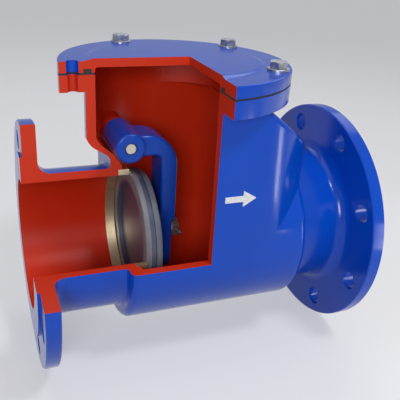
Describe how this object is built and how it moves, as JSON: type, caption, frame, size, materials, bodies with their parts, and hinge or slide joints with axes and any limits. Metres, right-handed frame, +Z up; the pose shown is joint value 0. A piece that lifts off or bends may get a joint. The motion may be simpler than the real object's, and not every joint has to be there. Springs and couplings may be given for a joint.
{
  "type": "swing check valve",
  "caption": "Flanged swing check valve with a quarter of the body cut away; the hinged disc swings off its seat to let flow through one way.",
  "frame": {"origin": "centre of the outlet flange's sealing face", "axes": "+X with the flow, out of the outlet; +Z up through the cover; the cutaway is on the -Y side"},
  "size_m": [0.393, 0.285, 0.3604],
  "materials": {
    "body_enamel": "gloss enamel over cast iron, red on cut faces and inside",
    "arm_enamel": "gloss enamel",
    "gasket_black": "matt",
    "zinc_steel": "zinc plated",
    "bronze": "turned",
    "pin_steel": "turned",
    "disc_coating": "satin grey coating",
    "facing_rubber": "satin"
  },
  "bodies": {
    "valve": {"valve_body": "body_enamel", "cover": "body_enamel", "cover_gasket": "gasket_black", "cover_seal_ring": "gasket_black", "cover_bolts": "zinc_steel", "cover_washers": "zinc_steel", "seat_ring": "bronze", "hinge_pin": "pin_steel", "pin_bush": "bronze", "hinge_thrust_washer": "bronze", "pin_plug_seal": "bronze", "pin_plug": "zinc_steel"},
    "arm": {"hinge_arm": "arm_enamel"},
    "disc": {"disc": "disc_coating", "disc_facing": "facing_rubber", "disc_back_plate": "disc_coating", "disc_stud": "pin_steel", "disc_washer": "zinc_steel", "disc_nut": "zinc_steel", "disc_split_pin": "pin_steel"}
  },
  "joints": [
    {"name": "arm_swing", "type": "hinge", "parent": "valve", "child": "arm", "pos_m": [-0.277, 0, 0.118], "axis": [0, -1, 0], "range_deg": [0, 65]},
    {"name": "disc_spin", "type": "hinge", "parent": "arm", "child": "disc", "pos_m": [-0.2445, 0, 0], "axis": [1, 0, 0], "continuous": true}
  ]
}
